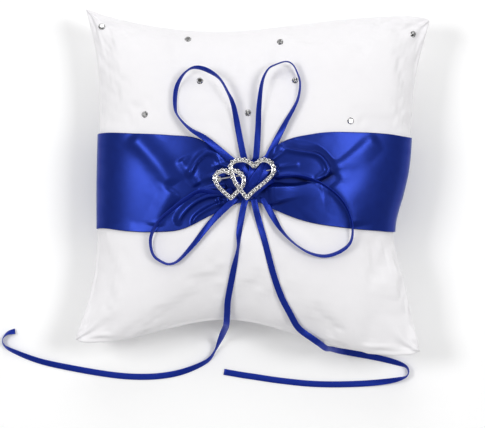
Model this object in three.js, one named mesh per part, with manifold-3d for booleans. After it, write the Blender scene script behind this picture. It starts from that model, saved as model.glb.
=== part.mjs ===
// Ring bearer pillow: a stuffed square pillow with a satin band round its waist, a thin
// ribbon bow with two long tails, nine glued rhinestones and a double heart brooch.
// Millimetres. The pillow lies on its back: +X to its right, +Y to its top, +Z out of its face.

import * as THREE from 'three';
import { mergeVertices } from 'three/addons/utils/BufferGeometryUtils.js';
import Module from 'manifold-3d';

const wasm = await Module();
wasm.setup();

// Pillow
const pillow_half_width = 103;
const pillow_half_height = 99;
const front_depth = 30;
const back_depth = 30;
const back_flat_depth = 27;
const pull_left = 14;
const pull_right = 13;
const pull_top = 14.5;
const pull_top_middle = -0.3;
const pull_top_reach = 0.75;
const pull_bottom = 18;
const pull_bottom_middle = -0.1;
const pull_bottom_reach = 0.52;
const side_sharpness = 4;
const end_sharpness = 10;
const grip_left = 1.5;
const grip_left_middle = -0.45;
const grip_left_reach = 0.3;
const grip_right = 8;
const grip_right_middle = -0.27;
const grip_right_reach = 0.25;
const corner_cut = 2.5;
const corner_roundness = 8;
const crown_power = 0.45;
const dimple_depth = 5;
const dimple_reach = 25;
const panel_thickness = 0.8;
const panel_steps = 20;

// Satin band round the waist
const band_width = 57;
const band_gathered_width = 26;
const band_gather_reach = 30;
const band_thickness = 0.9;
const band_steps_across = 8;
const band_end_gap = 0.6;

// Clearances
const touch_gap = 0.3;
const band_ease = 1;
const running_gap = 0.1;

// Thin ribbon
const ribbon_width = 3.6;
const ribbon_sides = 8;
const ribbon_step = 2.5 * ribbon_width;
const knot_half_size = [8, 8.5, 2.5];

// Brooch
const heart_strip_width = 2.6;
const heart_strip_height = 2.2;
const stem_radius = 0.4;
const stem_overhang = 2;
const stem_point_length = 3;
const hinge_place = [11.6, 5.9];
const catch_place = [-19.3, -0.64];
const rivet_radius = 0.45;
const rivet_head = 0.3;
const eye_wall = 0.45;
const eye_width = 1.4;
const ear_thickness = 0.6;
const ear_margin = 0.2;
const sleeve_room = 0.45;
const sleeve_wall = 0.5;
const sleeve_length = 3;
const sleeve_slot_half_angle = 50;
const tab_length = 0.75;
const tab_thickness = 0.6;
const catch_wall = 0.55;
const catch_slot_half_angle = 42;

// Glued rhinestones
const stone_radius = 2;
const stone_table_radius = 1.1;
const stone_girdle = 0.4;
const stone_height = 1.5;
const stone_sides = 10;
const stone_gap = 0.5;

// Places of the glued stones: across, -1 to 1, and up from the band, 0, to the top edge, 1.
const stone_places = [
  [-0.912, 0.864],
  [-0.398, 0.889],
  [0.134, 0.83],
  [0.915, 0.836],
  [-0.346, 0.444],
  [0.242, 0.434],
  [-0.697, 0.069],
  [-0.043, 0.118],
  [0.602, 0.06],
];

// Routes of the thin ribbon, from the knot. The tails end on the surface the pillow lies on.
const ribbon_routes = {
  ribbon_loop_upper_left: [
    [-4.6, 10.4, 59],
    [-5.9, 14, 59.8],
    [-9.2, 28.1, 60.5],
    [-12.2, 41.1, 61.5],
    [-15.6, 48.4, 61.5],
    [-20.4, 56, 60.5],
    [-26.8, 60.4, 59],
    [-33.1, 62.2, 57.5],
    [-38.2, 60.9, 56],
    [-42.5, 56.2, 55],
    [-45.1, 49.2, 55],
    [-45.3, 40.1, 56],
    [-43.4, 34.4, 57],
    [-36.4, 27.3, 60],
    [-27.1, 21.8, 61.3],
    [-15, 12.6, 60.3],
    [-9.8, 8.6, 59.2],
  ],
  ribbon_loop_upper_right: [
    [1, 10.6, 59],
    [1.6, 14, 59.6],
    [2.1, 28.5, 60.5],
    [2.2, 41.5, 62],
    [3.5, 54.7, 61],
    [6.6, 62.3, 59],
    [11.1, 65.4, 57],
    [16.7, 67.3, 55],
    [20.7, 65.7, 54],
    [23.7, 60.1, 55],
    [25, 54.4, 56.5],
    [23.6, 45.1, 58.5],
    [17.7, 33, 60],
    [13, 23.2, 60.3],
    [8.7, 14, 60],
    [6.4, 9, 59],
  ],
  ribbon_loop_lower_left: [
    [-10.8, -6.2, 59.1],
    [-16.4, -8.6, 60],
    [-29, -7.6, 61],
    [-36.4, -11.8, 61.5],
    [-43.9, -17.7, 61],
    [-51.6, -24.7, 59],
    [-55.5, -31.1, 56.5],
    [-56.7, -37.9, 54.2],
    [-54.5, -45.2, 53.3],
    [-48.7, -49, 53.4],
    [-44.7, -49.4, 53.8],
    [-40.2, -47, 54.8],
    [-32.5, -38.2, 57],
    [-24.4, -27.2, 59.4],
    [-18.4, -20.2, 60.2],
    [-11.4, -13.2, 60],
    [-8.4, -10.1, 59.1],
  ],
  ribbon_loop_lower_right: [
    [10.8, 1.4, 59],
    [14, 1.6, 59.6],
    [26, 2.7, 61.5],
    [35.7, 0.2, 62],
    [44.4, -4.6, 61],
    [50.8, -10.3, 59.5],
    [55.1, -17.2, 57.5],
    [57.4, -25.6, 56.8],
    [56.6, -33.6, 55.1],
    [51.4, -38.9, 54.7],
    [42.9, -42, 55.5],
    [33.8, -40.6, 56.8],
    [25.1, -35.7, 58],
    [17.5, -28.6, 59],
    [12.2, -20.9, 59.8],
    [7.4, -12.6, 59.9],
    [5.7, -9.5, 59],
  ],
  ribbon_tail_left: [
    [-3.6, -10.8, 59],
    [-4.9, -17, 59.6],
    [-6.7, -30, 58.6],
    [-7, -39.1, 58],
    [-9.4, -53.3, 55],
    [-11.7, -68.3, 49],
    [-12, -76, 44],
    [-12.2, -82.8, 37],
    [-12.8, -85.8, 27],
    [-14, -89, 16],
    [-15.8, -94, 7.5],
    [-18.3, -100, 2.6],
    [-23.1, -106.7, 2],
    [-35.8, -113, 2],
    [-49.2, -116.3, 2],
    [-64.4, -117.4, 2],
    [-80.9, -116.5, 2],
    [-103.3, -113.4, 2],
    [-121.6, -109.9, 2],
    [-135.9, -105, 2],
    [-142.2, -101.6, 2],
    [-143.2, -97.6, 2],
    [-140.4, -94.2, 2],
    [-136.2, -93, 2],
  ],
  ribbon_tail_right: [
    [0.9, -10.9, 59],
    [2.4, -17, 59.4],
    [4.3, -23.4, 58.6],
    [8.1, -35.2, 58.4],
    [13.3, -52.6, 55.6],
    [18.3, -65.6, 51.6],
    [23.5, -75, 48.2],
    [27.8, -82.3, 44.2],
    [31.4, -85.9, 42],
    [36.4, -89.2, 40.2],
    [41.2, -92.4, 36.8],
    [45.6, -95.6, 28.4],
    [49.6, -96.6, 17.5],
    [54.6, -98, 8],
    [61.4, -99.2, 2.6],
    [77.2, -101.6, 2],
    [88.4, -104.1, 2],
    [94.3, -106.6, 2],
    [94.8, -111.2, 2],
    [88.7, -113.9, 2],
    [75.3, -116.3, 2],
    [57.1, -117.8, 2],
    [39, -118.1, 2],
    [20.7, -116.9, 2],
    [4.8, -115.1, 2],
    [-2.9, -114.2, 2],
    [-12.9, -112.8, 2],
  ],
};

// Sizes of the hinge and the catch that follow from the sizes above
const eye_radius = rivet_radius + running_gap + eye_wall;
const ear_reach = eye_radius + ear_margin;
const sleeve_inner = stem_radius + sleeve_room;
const sleeve_outer = sleeve_inner + sleeve_wall;
const catch_inner = sleeve_outer + running_gap;
const catch_length = sleeve_length - 2 * (tab_thickness + running_gap);
const catch_outer = catch_inner + catch_wall;
const pin_depth = Math.max(catch_outer, sleeve_outer + tab_length, eye_radius) + touch_gap;

// Heights that follow from the sizes above
const seam_height = back_flat_depth + band_ease + band_thickness + touch_gap / 2;
const centre_height = seam_height + touch_gap / 2 + front_depth - dimple_depth;
const band_top = centre_height + band_ease + band_thickness;
const knot_height = band_top + touch_gap + knot_half_size[2];
const knot_top = knot_height + knot_half_size[2];
const pin_height = knot_top + touch_gap + stem_radius;
const brooch_height = pin_height + pin_depth;

const white_satin = material(0xf4f1f3, 0.62, 0);
const polyester_fill = material(0xffffff, 0.9, 0);
const blue_satin = material(0x1f2f9c, 0.35, 0);
const blue_ribbon = material(0x1c2a94, 0.4, 0);
const silver_cast = material(0xc9ccd2, 0.2, 1);
const silver_wire = material(0xb9bcc2, 0.25, 1);
const clear_stone = material(0xdfe7f2, 0.05, 0);

function material(color, roughness, metalness) {
  return new THREE.MeshStandardMaterial({ color, roughness, metalness });
}

function mesh(name, geometry, look) {
  const piece = new THREE.Mesh(geometry, look);
  piece.name = name;
  return piece;
}

function blend(low, high, share) {
  return low + (high - low) * share;
}

// A smooth hump, 1 at the middle and falling off over the reach.
function hump(place, middle, reach) {
  return Math.exp(-(((place - middle) / reach) ** 2));
}

// The corners are blunt, because the cloth in them is turned and pressed round.
function cornerCutAt(u, v) {
  return corner_cut * Math.abs(u * v) ** corner_roundness;
}

// The stuffing draws the sides in from the corners, and the band grips the waist.
function halfWidthAt(u, v) {
  const pull = blend(pull_left, pull_right, (u + 1) / 2) * (1 - Math.abs(v) ** side_sharpness);
  const grip = u > 0
    ? grip_right * hump(v, grip_right_middle, grip_right_reach)
    : grip_left * hump(v, grip_left_middle, grip_left_reach);
  return pillow_half_width - pull - grip * u * u - cornerCutAt(u, v);
}

// The stuffing draws the top and the bottom edge in, each deepest at a place of its own.
function halfHeightAt(u, v) {
  const top = pull_top * hump(u, pull_top_middle, pull_top_reach);
  const bottom = pull_bottom * hump(u, pull_bottom_middle, pull_bottom_reach);
  const pull = blend(bottom, top, (v + 1) / 2) * (1 - Math.abs(u) ** end_sharpness);
  return pillow_half_height - pull - cornerCutAt(u, v);
}

// The pillow's crown, 1 in the middle and 0 all along the seam.
function crown(u, v) {
  const across = Math.max(1 - u * u, 0) ** crown_power;
  const along = Math.max(1 - v * v, 0) ** crown_power;
  return across * along;
}

function frontDepthAt(u, v) {
  const x = u * halfWidthAt(u, v);
  const y = v * halfHeightAt(u, v);
  const fall = (x * x + y * y) / (dimple_reach * dimple_reach);
  return front_depth * crown(u, v) - dimple_depth * Math.exp(-fall);
}

function backDepthAt(u, v) {
  return Math.min(back_depth * crown(u, v), back_flat_depth);
}

// A point of the pillow's surface moved outwards by offset; side is 1 in front and -1 behind.
function surfacePoint(u, v, side, offset) {
  const deepest = side > 0 ? front_depth : back_flat_depth;
  const depth = side > 0 ? frontDepthAt(u, v) : backDepthAt(u, v);
  const x = u * halfWidthAt(u, v) * (1 + offset / pillow_half_width);
  const y = v * halfHeightAt(u, v) * (1 + offset / pillow_half_height);
  const rise = touch_gap / 2 + depth * (1 + offset / deepest);
  return new THREE.Vector3(x, y, seam_height + side * rise);
}

// Moves every vertex of a box geometry through place(x, y, z) and closes its seams.
function shapeBox(box, place) {
  box.deleteAttribute('normal');
  box.deleteAttribute('uv');
  const geometry = mergeVertices(box);
  const position = geometry.attributes.position;
  for (let i = 0; i < position.count; i++) {
    const point = place(position.getX(i), position.getY(i), position.getZ(i));
    position.setXYZ(i, point.x, point.y, point.z);
  }
  geometry.computeVertexNormals();
  return geometry;
}

// Cell lines crowd towards the seam, where the crown is steepest.
function gridValue(share) {
  return Math.sin((share * Math.PI) / 2);
}

function panel(side) {
  const box = new THREE.BoxGeometry(2, 2, 2, panel_steps, panel_steps, 1);
  return shapeBox(box, (a, b, c) => {
    const offset = c * side > 0 ? 0 : -panel_thickness;
    return surfacePoint(gridValue(a), gridValue(b), side, offset);
  });
}

// The filling's box is turned a quarter, so that its cells split as the panels' insides do.
function filling() {
  const box = new THREE.BoxGeometry(2, 2, 2, panel_steps, panel_steps, 1);
  const inset = panel_thickness + touch_gap;
  return shapeBox(box, (a, b, c) => surfacePoint(gridValue(-b), gridValue(a), c, -inset));
}

// The v of the surface line that passes y at column u.
function lineThrough(u, y) {
  let v = y / pillow_half_height;
  for (let i = 0; i < 4; i++) {
    v = y / halfHeightAt(u, v);
  }
  return v;
}

// The band goes once round the waist, from its sewn end in the middle of the front.
function satinBand() {
  const round_steps = 2 * panel_steps;
  const box = new THREE.BoxGeometry(2, 2, 2, round_steps, band_steps_across, 1);
  const end_angle = band_end_gap / pillow_half_width;
  return shapeBox(box, (a, b, c) => {
    const angle = THREE.MathUtils.clamp((a + 1) * Math.PI, end_angle, 2 * Math.PI - end_angle);
    const u = Math.sin(angle);
    const side = Math.cos(angle) > -1e-9 ? 1 : -1;
    const across = u * pillow_half_width;
    const gather = side > 0 ? Math.exp(-((across / band_gather_reach) ** 2)) : 0;
    const half_width = blend(band_width, band_gathered_width, gather) / 2;
    const v = lineThrough(u, b * half_width);
    return surfacePoint(u, v, side, band_ease + (c > 0 ? band_thickness : 0));
  });
}

function ribbonTube(points) {
  const curve = new THREE.CatmullRomCurve3(points.map((point) => new THREE.Vector3(...point)));
  const section = new THREE.Shape();
  section.absarc(0, 0, ribbon_width / 2, 0, 2 * Math.PI);
  return new THREE.ExtrudeGeometry(new THREE.Shape(section.getPoints(ribbon_sides).slice(1)), {
    steps: Math.round(curve.getLength() / ribbon_step),
    extrudePath: curve,
  });
}

function knot() {
  const ball = new THREE.SphereGeometry(1, 16, 10);
  ball.scale(...knot_half_size);
  return ball;
}

function toSolid(geometry) {
  const bare = geometry.clone();
  bare.deleteAttribute('normal');
  bare.deleteAttribute('uv');
  const merged = mergeVertices(bare, 1e-4);
  return new wasm.Manifold(new wasm.Mesh({
    numProp: 3,
    vertProperties: new Float32Array(merged.attributes.position.array),
    triVerts: new Uint32Array(merged.index.array),
  }));
}

function toGeometry(solid) {
  const result = solid.getMesh();
  const geometry = new THREE.BufferGeometry();
  geometry.setAttribute('position', new THREE.BufferAttribute(result.vertProperties, 3));
  geometry.setIndex(new THREE.BufferAttribute(result.triVerts, 1));
  geometry.computeVertexNormals();
  return geometry;
}

function unite(geometries) {
  const solids = geometries.map(toSolid);
  return toGeometry(solids.reduce((whole, next) => whole.add(next)));
}

// One side of a heart: a round lobe from the notch, then a bowed line down to the tip.
function heartSide(width, height) {
  const lobe = width * 0.26;
  const centre = new THREE.Vector2(width / 2 - lobe, height / 2 - lobe);
  const notch_angle = Math.acos(-centre.x / lobe);
  const leave_angle = -Math.PI / 7;
  const side = new THREE.Path();
  side.absarc(centre.x, centre.y, lobe, notch_angle, leave_angle, true);
  const bow_x = centre.x + lobe * Math.cos(leave_angle) - width * 0.1;
  const bow_y = centre.y + lobe * Math.sin(leave_angle) - height * 0.22;
  side.quadraticCurveTo(bow_x, bow_y, 0, -height / 2);
  return side;
}

// A flat strip of the casting that follows one side of a heart.
function heartStrip(side, mirror) {
  const points = side.getPoints(14);
  const edges = [[], []];
  points.forEach((point, i) => {
    const before = points[Math.max(i - 1, 0)];
    const after = points[Math.min(i + 1, points.length - 1)];
    const along = after.clone().sub(before).normalize();
    const across = new THREE.Vector2(-along.y, along.x).multiplyScalar(heart_strip_width / 2);
    edges[0].push(point.clone().add(across));
    edges[1].unshift(point.clone().sub(across));
  });
  const outline = [...edges[0], ...edges[1]];
  outline.forEach((point) => { point.x *= mirror; });
  return new THREE.ExtrudeGeometry(new THREE.Shape(outline), {
    depth: heart_strip_height,
    bevelEnabled: false,
  });
}

function heart(width, height, turn, x, y) {
  const side = heartSide(width - heart_strip_width, height - heart_strip_width);
  const halves = [heartStrip(side, 1), heartStrip(side, -1)];
  halves.forEach((half) => {
    half.rotateZ(turn);
    half.translate(x, y, 0);
  });
  return halves;
}

function doubleHeart() {
  const large = heart(25.5, 24.6, THREE.MathUtils.degToRad(-11.5), 0.6, -0.2);
  const small = heart(18.2, 15.8, THREE.MathUtils.degToRad(3), -13.2, -3.9);
  return unite([...large, ...small]);
}

function cylinderAlongY(radius, length, sides) {
  return new THREE.CylinderGeometry(radius, radius, length, sides);
}

// Stem and eye in the pin's own frame: the pivot at the origin, the stem along +X.
function pinStem(stem_length) {
  const profile = [
    new THREE.Vector2(0, 0),
    new THREE.Vector2(stem_radius, 0),
    new THREE.Vector2(stem_radius, stem_length - stem_point_length),
    new THREE.Vector2(0, stem_length),
  ];
  const stem = new THREE.LatheGeometry(profile, 12);
  stem.rotateZ(-Math.PI / 2);
  const eye = toSolid(cylinderAlongY(eye_radius, eye_width, 24));
  const hole = toSolid(cylinderAlongY(rivet_radius + running_gap, eye_width * 2, 24));
  return toGeometry(toSolid(stem).add(eye).subtract(hole));
}

// A folded plate: a web against the casting and two ears that carry the rivet.
function hingeBase() {
  const web_top = pin_depth - touch_gap;
  const ear_place = eye_width / 2 + touch_gap + ear_thickness / 2;
  const web = new THREE.BoxGeometry(2 * ear_reach, 2 * ear_place + ear_thickness, ear_thickness);
  web.translate(0, 0, web_top - ear_thickness / 2);
  let solid = toSolid(web);
  for (const side of [-1, 1]) {
    const ear = new THREE.BoxGeometry(2 * ear_reach, ear_thickness, web_top + ear_reach);
    ear.translate(0, side * ear_place, (web_top - ear_reach) / 2);
    solid = solid.add(toSolid(ear));
  }
  const hole = cylinderAlongY(rivet_radius + touch_gap / 2, 4 * ear_place, 24);
  return toGeometry(solid.subtract(toSolid(hole)));
}

function hingeRivet() {
  const ears_width = eye_width + 2 * (touch_gap + ear_thickness);
  return cylinderAlongY(rivet_radius, ears_width + 2 * rivet_head, 16);
}

// An open ring along +X whose gap, of the given half angle, faces down.
function openRing(inner, outer, half_angle, length) {
  const gap = THREE.MathUtils.degToRad(half_angle);
  const ring = new THREE.Shape();
  ring.absarc(0, 0, outer, -Math.PI / 2 + gap, 1.5 * Math.PI - gap, false);
  ring.absarc(0, 0, inner, 1.5 * Math.PI - gap, -Math.PI / 2 + gap, true);
  const geometry = new THREE.ExtrudeGeometry(ring, {
    depth: length,
    bevelEnabled: false,
    curveSegments: 20,
  });
  geometry.translate(0, 0, -length / 2);
  geometry.rotateX(Math.PI / 2);
  geometry.rotateZ(Math.PI / 2);
  return geometry;
}

// The tab starts inside the sleeve's wall and stands clear of the catch's end.
function catchSleeve() {
  const ring = openRing(sleeve_inner, sleeve_outer, sleeve_slot_half_angle, sleeve_length);
  const root = sleeve_wall / 2;
  const tab = new THREE.BoxGeometry(tab_thickness, root + tab_length, tab_thickness);
  tab.translate((sleeve_length - tab_thickness) / 2, sleeve_outer + (tab_length - root) / 2, 0);
  return unite([ring, tab]);
}

function catchBase() {
  return openRing(catch_inner, catch_outer, catch_slot_half_angle, catch_length);
}

function rhinestone() {
  const profile = [
    new THREE.Vector2(0, 0),
    new THREE.Vector2(stone_radius, 0),
    new THREE.Vector2(stone_radius, stone_girdle),
    new THREE.Vector2(stone_table_radius, stone_height),
    new THREE.Vector2(0, stone_height),
  ];
  const geometry = new THREE.LatheGeometry(profile, stone_sides);
  geometry.rotateX(Math.PI / 2);
  return geometry;
}

// Glues a stone to the front panel, square to the surface and clear of the band.
function placeStone(piece, u, share) {
  const step = 0.01;
  const lowest = band_width / 2 + stone_radius + stone_gap;
  const v = lineThrough(u, blend(lowest, halfHeightAt(u, 1), share));
  const here = surfacePoint(u, v, 1, 0);
  const right = surfacePoint(u + step, v, 1, 0).sub(here);
  const up = surfacePoint(u, v + step, 1, 0).sub(here);
  const normal = right.cross(up).normalize();
  piece.quaternion.setFromUnitVectors(new THREE.Vector3(0, 0, 1), normal);
  piece.position.copy(here).addScaledVector(normal, stone_gap);
}

const pillow = new THREE.Group();

pillow.add(mesh('front_panel', panel(1), white_satin));
pillow.add(mesh('back_panel', panel(-1), white_satin));
pillow.add(mesh('fibre_filling', filling(), polyester_fill));
pillow.add(mesh('satin_band', satinBand(), blue_satin));

const knot_piece = mesh('ribbon_knot', knot(), blue_ribbon);
knot_piece.position.set(0, 0, knot_height);
pillow.add(knot_piece);

for (const [name, points] of Object.entries(ribbon_routes)) {
  pillow.add(mesh(name, ribbonTube(points), blue_ribbon));
}

stone_places.forEach(([u, share], i) => {
  const stone = mesh(`rhinestone_${i + 1}`, rhinestone(), clear_stone);
  placeStone(stone, u, share);
  pillow.add(stone);
});

const brooch = new THREE.Group();
brooch.position.set(0, 0, brooch_height);
brooch.add(mesh('heart_frame', doubleHeart(), silver_cast));
pillow.add(brooch);

const hinge_point = new THREE.Vector2(...hinge_place);
const catch_point = new THREE.Vector2(...catch_place);
const pin_span = hinge_point.distanceTo(catch_point);

// The pin's own frame: at the hinge, turned to point at the catch.
const pin_frame = new THREE.Group();
pin_frame.position.set(hinge_point.x, hinge_point.y, -pin_depth);
pin_frame.rotation.z = catch_point.clone().sub(hinge_point).angle();
pin_frame.add(mesh('hinge_base', hingeBase(), silver_cast));
pin_frame.add(mesh('hinge_rivet', hingeRivet(), silver_wire));
pin_frame.add(mesh('pin_stem', pinStem(pin_span + stem_overhang), silver_wire));
for (const [name, geometry] of [['catch_base', catchBase()], ['catch_sleeve', catchSleeve()]]) {
  const piece = mesh(name, geometry, silver_cast);
  piece.position.x = pin_span;
  pin_frame.add(piece);
}
brooch.add(pin_frame);

export default pillow;
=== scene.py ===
import math

import bpy
import numpy as np
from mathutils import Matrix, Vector, noise
from mathutils.bvhtree import BVHTree


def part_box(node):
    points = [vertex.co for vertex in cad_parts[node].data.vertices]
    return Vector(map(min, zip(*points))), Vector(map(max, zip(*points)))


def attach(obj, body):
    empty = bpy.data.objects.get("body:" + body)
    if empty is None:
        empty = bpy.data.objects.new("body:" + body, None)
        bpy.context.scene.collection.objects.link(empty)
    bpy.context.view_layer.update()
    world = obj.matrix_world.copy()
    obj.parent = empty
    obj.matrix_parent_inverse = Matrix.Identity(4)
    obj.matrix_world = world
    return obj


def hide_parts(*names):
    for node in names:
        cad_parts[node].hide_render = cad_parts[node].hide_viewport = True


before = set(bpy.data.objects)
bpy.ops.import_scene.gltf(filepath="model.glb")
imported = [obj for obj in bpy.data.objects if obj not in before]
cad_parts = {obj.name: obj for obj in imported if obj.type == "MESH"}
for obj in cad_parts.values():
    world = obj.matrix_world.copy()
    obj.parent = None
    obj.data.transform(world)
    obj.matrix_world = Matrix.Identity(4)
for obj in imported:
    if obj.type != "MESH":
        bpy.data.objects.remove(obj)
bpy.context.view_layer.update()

# ---------------- Camera
# A long lens looks straight down on the pillow, which lies on its back on a table.
# It stands a little to the left of and below the pillow's middle, slightly turned.
camera_place = (-0.0051, -0.0198, 1.53)
camera_turn = math.radians(1.9)
camera_lens = 193.3

camera_data = bpy.data.cameras.new("camera")
camera_data.lens = camera_lens
camera_data.sensor_width = 36.0
camera_data.clip_end = 20.0
camera = bpy.data.objects.new("camera", camera_data)
camera.location = camera_place
camera.rotation_euler = (0.0, 0.0, camera_turn)
bpy.context.scene.collection.objects.link(camera)
bpy.context.scene.camera = camera

# ---------------- Thin ribbon
# One length of narrow double-faced satin ribbon, tied in a bow of four loops and two long
# tails. It is woven flat, so it turns on its edge where it bends. The tails lie on the table.
ribbon_width = 0.0036
ribbon_thickness = 0.0003
ribbon_step = 0.0011
ribbon_shares = (-1.0, -0.86, -0.45, 0.0, 0.45, 0.86, 1.0)
ribbon_bow = 0.00018
blue_glance = (0.25, 0.45, 1.0, 1.0)


class Value:
    """A shader socket that takes part in ordinary arithmetic. Each operator adds a node."""

    def __init__(self, tree, socket):
        self.tree = tree
        self.socket = socket

    def math(self, operation, *others):
        return node(self.tree, "ShaderNodeMath", {"operation": operation}, self, *others)

    def __add__(self, other):
        return self.math("ADD", other)

    __radd__ = __add__

    def __sub__(self, other):
        return self.math("SUBTRACT", other)

    def __rsub__(self, other):
        return node(self.tree, "ShaderNodeMath", {"operation": "SUBTRACT"}, other, self)

    def __mul__(self, other):
        return self.math("MULTIPLY", other)

    __rmul__ = __mul__


def node(tree, kind, settings, *inputs, out=0, **named):
    """Adds a node of that kind, sets its settings, fills its sockets and returns an output."""
    made = tree.nodes.new(kind)
    for name, value in settings.items():
        if name == "stops":
            ramp = made.color_ramp
            while len(ramp.elements) < len(value):
                ramp.elements.new(1.0)
            for stop, (place, colour) in zip(ramp.elements, value):
                stop.position = place
                stop.color = colour if hasattr(colour, "__len__") else (colour,) * 3 + (1,)
        else:
            setattr(made, name, value)
    keys = [(i, v) for i, v in enumerate(inputs)]
    keys += [(name.replace("_", " "), v) for name, v in named.items()]
    for key, value in keys:
        if value is None:
            continue
        if isinstance(value, Value):
            tree.links.new(value.socket, made.inputs[key])
        else:
            made.inputs[key].default_value = value
    return Value(tree, made.outputs[out])


def new_material(name):
    """An empty material with its tree and a principled shader wired to the output."""
    material = bpy.data.materials.new(name)
    material.use_nodes = True
    tree = material.node_tree
    tree.nodes.clear()
    shader = tree.nodes.new("ShaderNodeBsdfPrincipled")
    output = tree.nodes.new("ShaderNodeOutputMaterial")
    tree.links.new(shader.outputs[0], output.inputs[0])
    return material, tree, shader


def place_of(tree):
    """The point on the piece, in metres."""
    return node(tree, "ShaderNodeTexCoord", {}, out="Object")


def axis_of(tree, vector, axis):
    return node(tree, "ShaderNodeSeparateXYZ", {}, vector, out=axis)


def stripes(value, pitch):
    """Smooth ridges, 0 to 1, one in every pitch."""
    return (value * (2 * math.pi / pitch)).math("SINE") * 0.5 + 0.5


def speckle(tree, vector, scale, detail=2.0, rough=0.5):
    return node(tree, "ShaderNodeTexNoise", {}, vector, Scale=scale, Detail=detail, Roughness=rough)


def mix(tree, share, low, high):
    """A colour between low and high."""
    return node(tree, "ShaderNodeMix", {"data_type": "RGBA"}, share, None, None, None, None, None,
                low, high, out=2)


def feed(tree, shader, socket, value):
    tree.links.new(value.socket, shader.inputs[socket])


def fixed(shader, **values):
    """Sets sockets that are the same all over the surface."""
    for name, value in values.items():
        shader.inputs[name.replace("_", " ")].default_value = value


def bump(tree, shader, height, strength, distance):
    """Raises the surface's shading by height, 0 to 1, of distance metres."""
    feed(tree, shader, "Normal", node(tree, "ShaderNodeBump", {}, Strength=strength,
                                      Distance=distance, Height=height))


def ribbon_material():
    material, tree, shader = new_material("blue_ribbon_satin")
    along = node(tree, "ShaderNodeAttribute", {"attribute_name": "weave"}, out="Vector")
    length = axis_of(tree, along, "X")
    across = axis_of(tree, along, "Y")
    place = place_of(tree)
    picks = stripes(length, 0.00042)
    ends = stripes(across, 0.00022)
    slub = speckle(tree, place, 900.0, 3.0)
    selvedge = node(tree, "ShaderNodeMapRange", {"clamp": True}, across.math("ABSOLUTE"),
                    ribbon_width * 0.4, ribbon_width * 0.47, 0.0, 1.0)
    base = mix(tree, slub * 0.7 + selvedge * 0.3, (0.007, 0.02, 0.24, 1), (0.012, 0.036, 0.38, 1))
    feed(tree, shader, "Base Color", base)
    feed(tree, shader, "Roughness", selvedge * 0.15 + slub * 0.12 + 0.3)
    fixed(shader, Metallic=0.55, Coat_Weight=0.12, Coat_Roughness=0.36, Specular_IOR_Level=0.35,
          Specular_Tint=blue_glance)
    bump(tree, shader, picks * 0.4 + ends * 0.4 + selvedge * 0.6, 0.35, 0.00006)
    return material


def smooth_route(points, step):
    """Points every step along a Catmull-Rom curve through (x, y, z, lean) points."""
    rows = np.array(points, float)
    ends = np.vstack([2 * rows[0] - rows[1], rows, 2 * rows[-1] - rows[-2]])
    fine = []
    for i in range(1, len(ends) - 2):
        before, here, there, after = ends[i - 1:i + 3]
        count = max(2, int(np.linalg.norm(there[:3] - here[:3]) / step) * 2)
        for t in np.arange(count) / count:
            fine.append(0.5 * (2 * here + (there - before) * t
                               + (2 * before - 5 * here + 4 * there - after) * t ** 2
                               + (3 * here - before - 3 * there + after) * t ** 3))
    fine.append(ends[-2])
    fine = np.array(fine)
    gone = np.r_[0, np.cumsum(np.linalg.norm(np.diff(fine[:, :3], axis=0), axis=1))]
    even = np.linspace(0, gone[-1], max(8, int(round(gone[-1] / step))))
    return np.column_stack([np.interp(even, gone, fine[:, k]) for k in range(4)]), even


def new_piece(name, points, faces, material, smooth=True):
    """A mesh object from points and faces, shaded smooth unless it is cut or cast sharp."""
    mesh = bpy.data.meshes.new(name)
    mesh.from_pydata([tuple(p) for p in points], [], [tuple(f) for f in faces])
    mesh.materials.append(material)
    mesh.polygons.foreach_set("use_smooth", [smooth] * len(mesh.polygons))
    mesh.update()
    piece = bpy.data.objects.new(name, mesh)
    bpy.context.scene.collection.objects.link(piece)
    return piece


def strip_faces(count, round_count):
    """Faces of a closed strip: rings of round_count points, count rings, and two end caps."""
    faces = []
    for i in range(count - 1):
        for j in range(round_count):
            k = (j + 1) % round_count
            a, b = i * round_count, (i + 1) * round_count
            faces.append((a + j, a + k, b + k, b + j))
    faces.append(tuple(reversed(range(round_count))))
    faces.append(tuple((count - 1) * round_count + j for j in range(round_count)))
    return faces


def ribbon(name, points, material, width=ribbon_width):
    """A flat ribbon along a route; its lower edge keeps to the bottom of the round space."""
    rows, gone = smooth_route(points, ribbon_step)
    centre, lean = rows[:, :3].copy(), np.radians(rows[:, 3])
    tangent = np.gradient(centre, axis=0)
    tangent /= np.linalg.norm(tangent, axis=1)[:, None]
    side = np.cross(tangent, (0.0, 0.0, 1.0))
    side /= np.linalg.norm(side, axis=1)[:, None]
    lift = np.cross(side, tangent)
    across = side * np.cos(lean)[:, None] + lift * np.sin(lean)[:, None]
    face = np.cross(across, tangent)
    low = np.abs(across[:, 2]) * width / 2 + ribbon_thickness
    centre[:, 2] += low - width / 2
    top, bottom = [], []
    for share in ribbon_shares:
        bow = ribbon_bow * (1 - share ** 2)
        thick = ribbon_thickness * (0.5 if abs(share) < 1 else 0.35)
        middle = centre + across * (share * width / 2) + face * bow
        top.append(middle + face * thick)
        bottom.append(middle - face * thick)
    rings = np.stack(top + bottom[::-1], axis=1)
    shares = list(ribbon_shares) + list(ribbon_shares)[::-1]
    piece = new_piece(name, rings.reshape(-1, 3), strip_faces(len(rings), rings.shape[1]), material)
    weave = [(s, share * width / 2, 0.0) for s in gone for share in shares]
    attribute = piece.data.attributes.new("weave", "FLOAT_VECTOR", "POINT")
    attribute.data.foreach_set("vector", np.array(weave).ravel())
    return piece, centre


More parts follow.
